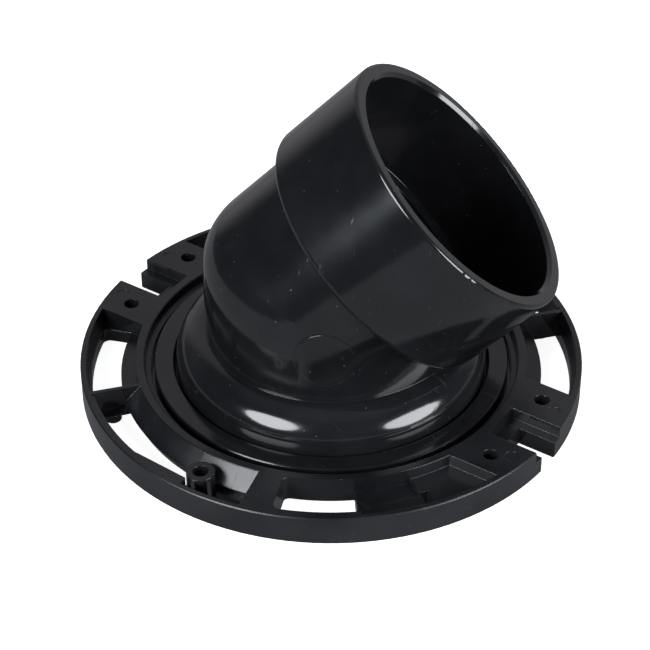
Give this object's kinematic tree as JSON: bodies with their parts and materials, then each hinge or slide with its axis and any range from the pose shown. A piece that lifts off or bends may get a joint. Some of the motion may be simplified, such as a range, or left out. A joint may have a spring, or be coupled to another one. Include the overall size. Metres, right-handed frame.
{
  "type": "toilet flange",
  "caption": "Offset closet flange with a forty-five degree elbow to a drain pipe hub, and a slotted ring that swivels round it.",
  "frame": {"origin": "on the ring's axis, in the plane of the face that meets the toilet, at the centre of the four floor screw holes", "axes": "+Z along the ring's axis, down the drain towards the pipe hub; +X along one of the two open bolt notches of the ring; the hub leans 45 degrees from +Z, 31.1 degrees round from +X towards +Y"},
  "size_m": [0.1776, 0.1778, 0.1188],
  "materials": {
    "body_abs": "glossy black moulded ABS",
    "ring_abs": "satin black moulded ABS"
  },
  "bodies": {
    "body": {"elbow_body": "body_abs"},
    "ring": {"swivel_ring": "ring_abs"}
  },
  "joints": [
    {"name": "ring_swivel", "type": "hinge", "parent": "body", "child": "ring", "pos_m": [0, 0, 0.002], "axis": [0, 0, 1], "continuous": true}
  ]
}
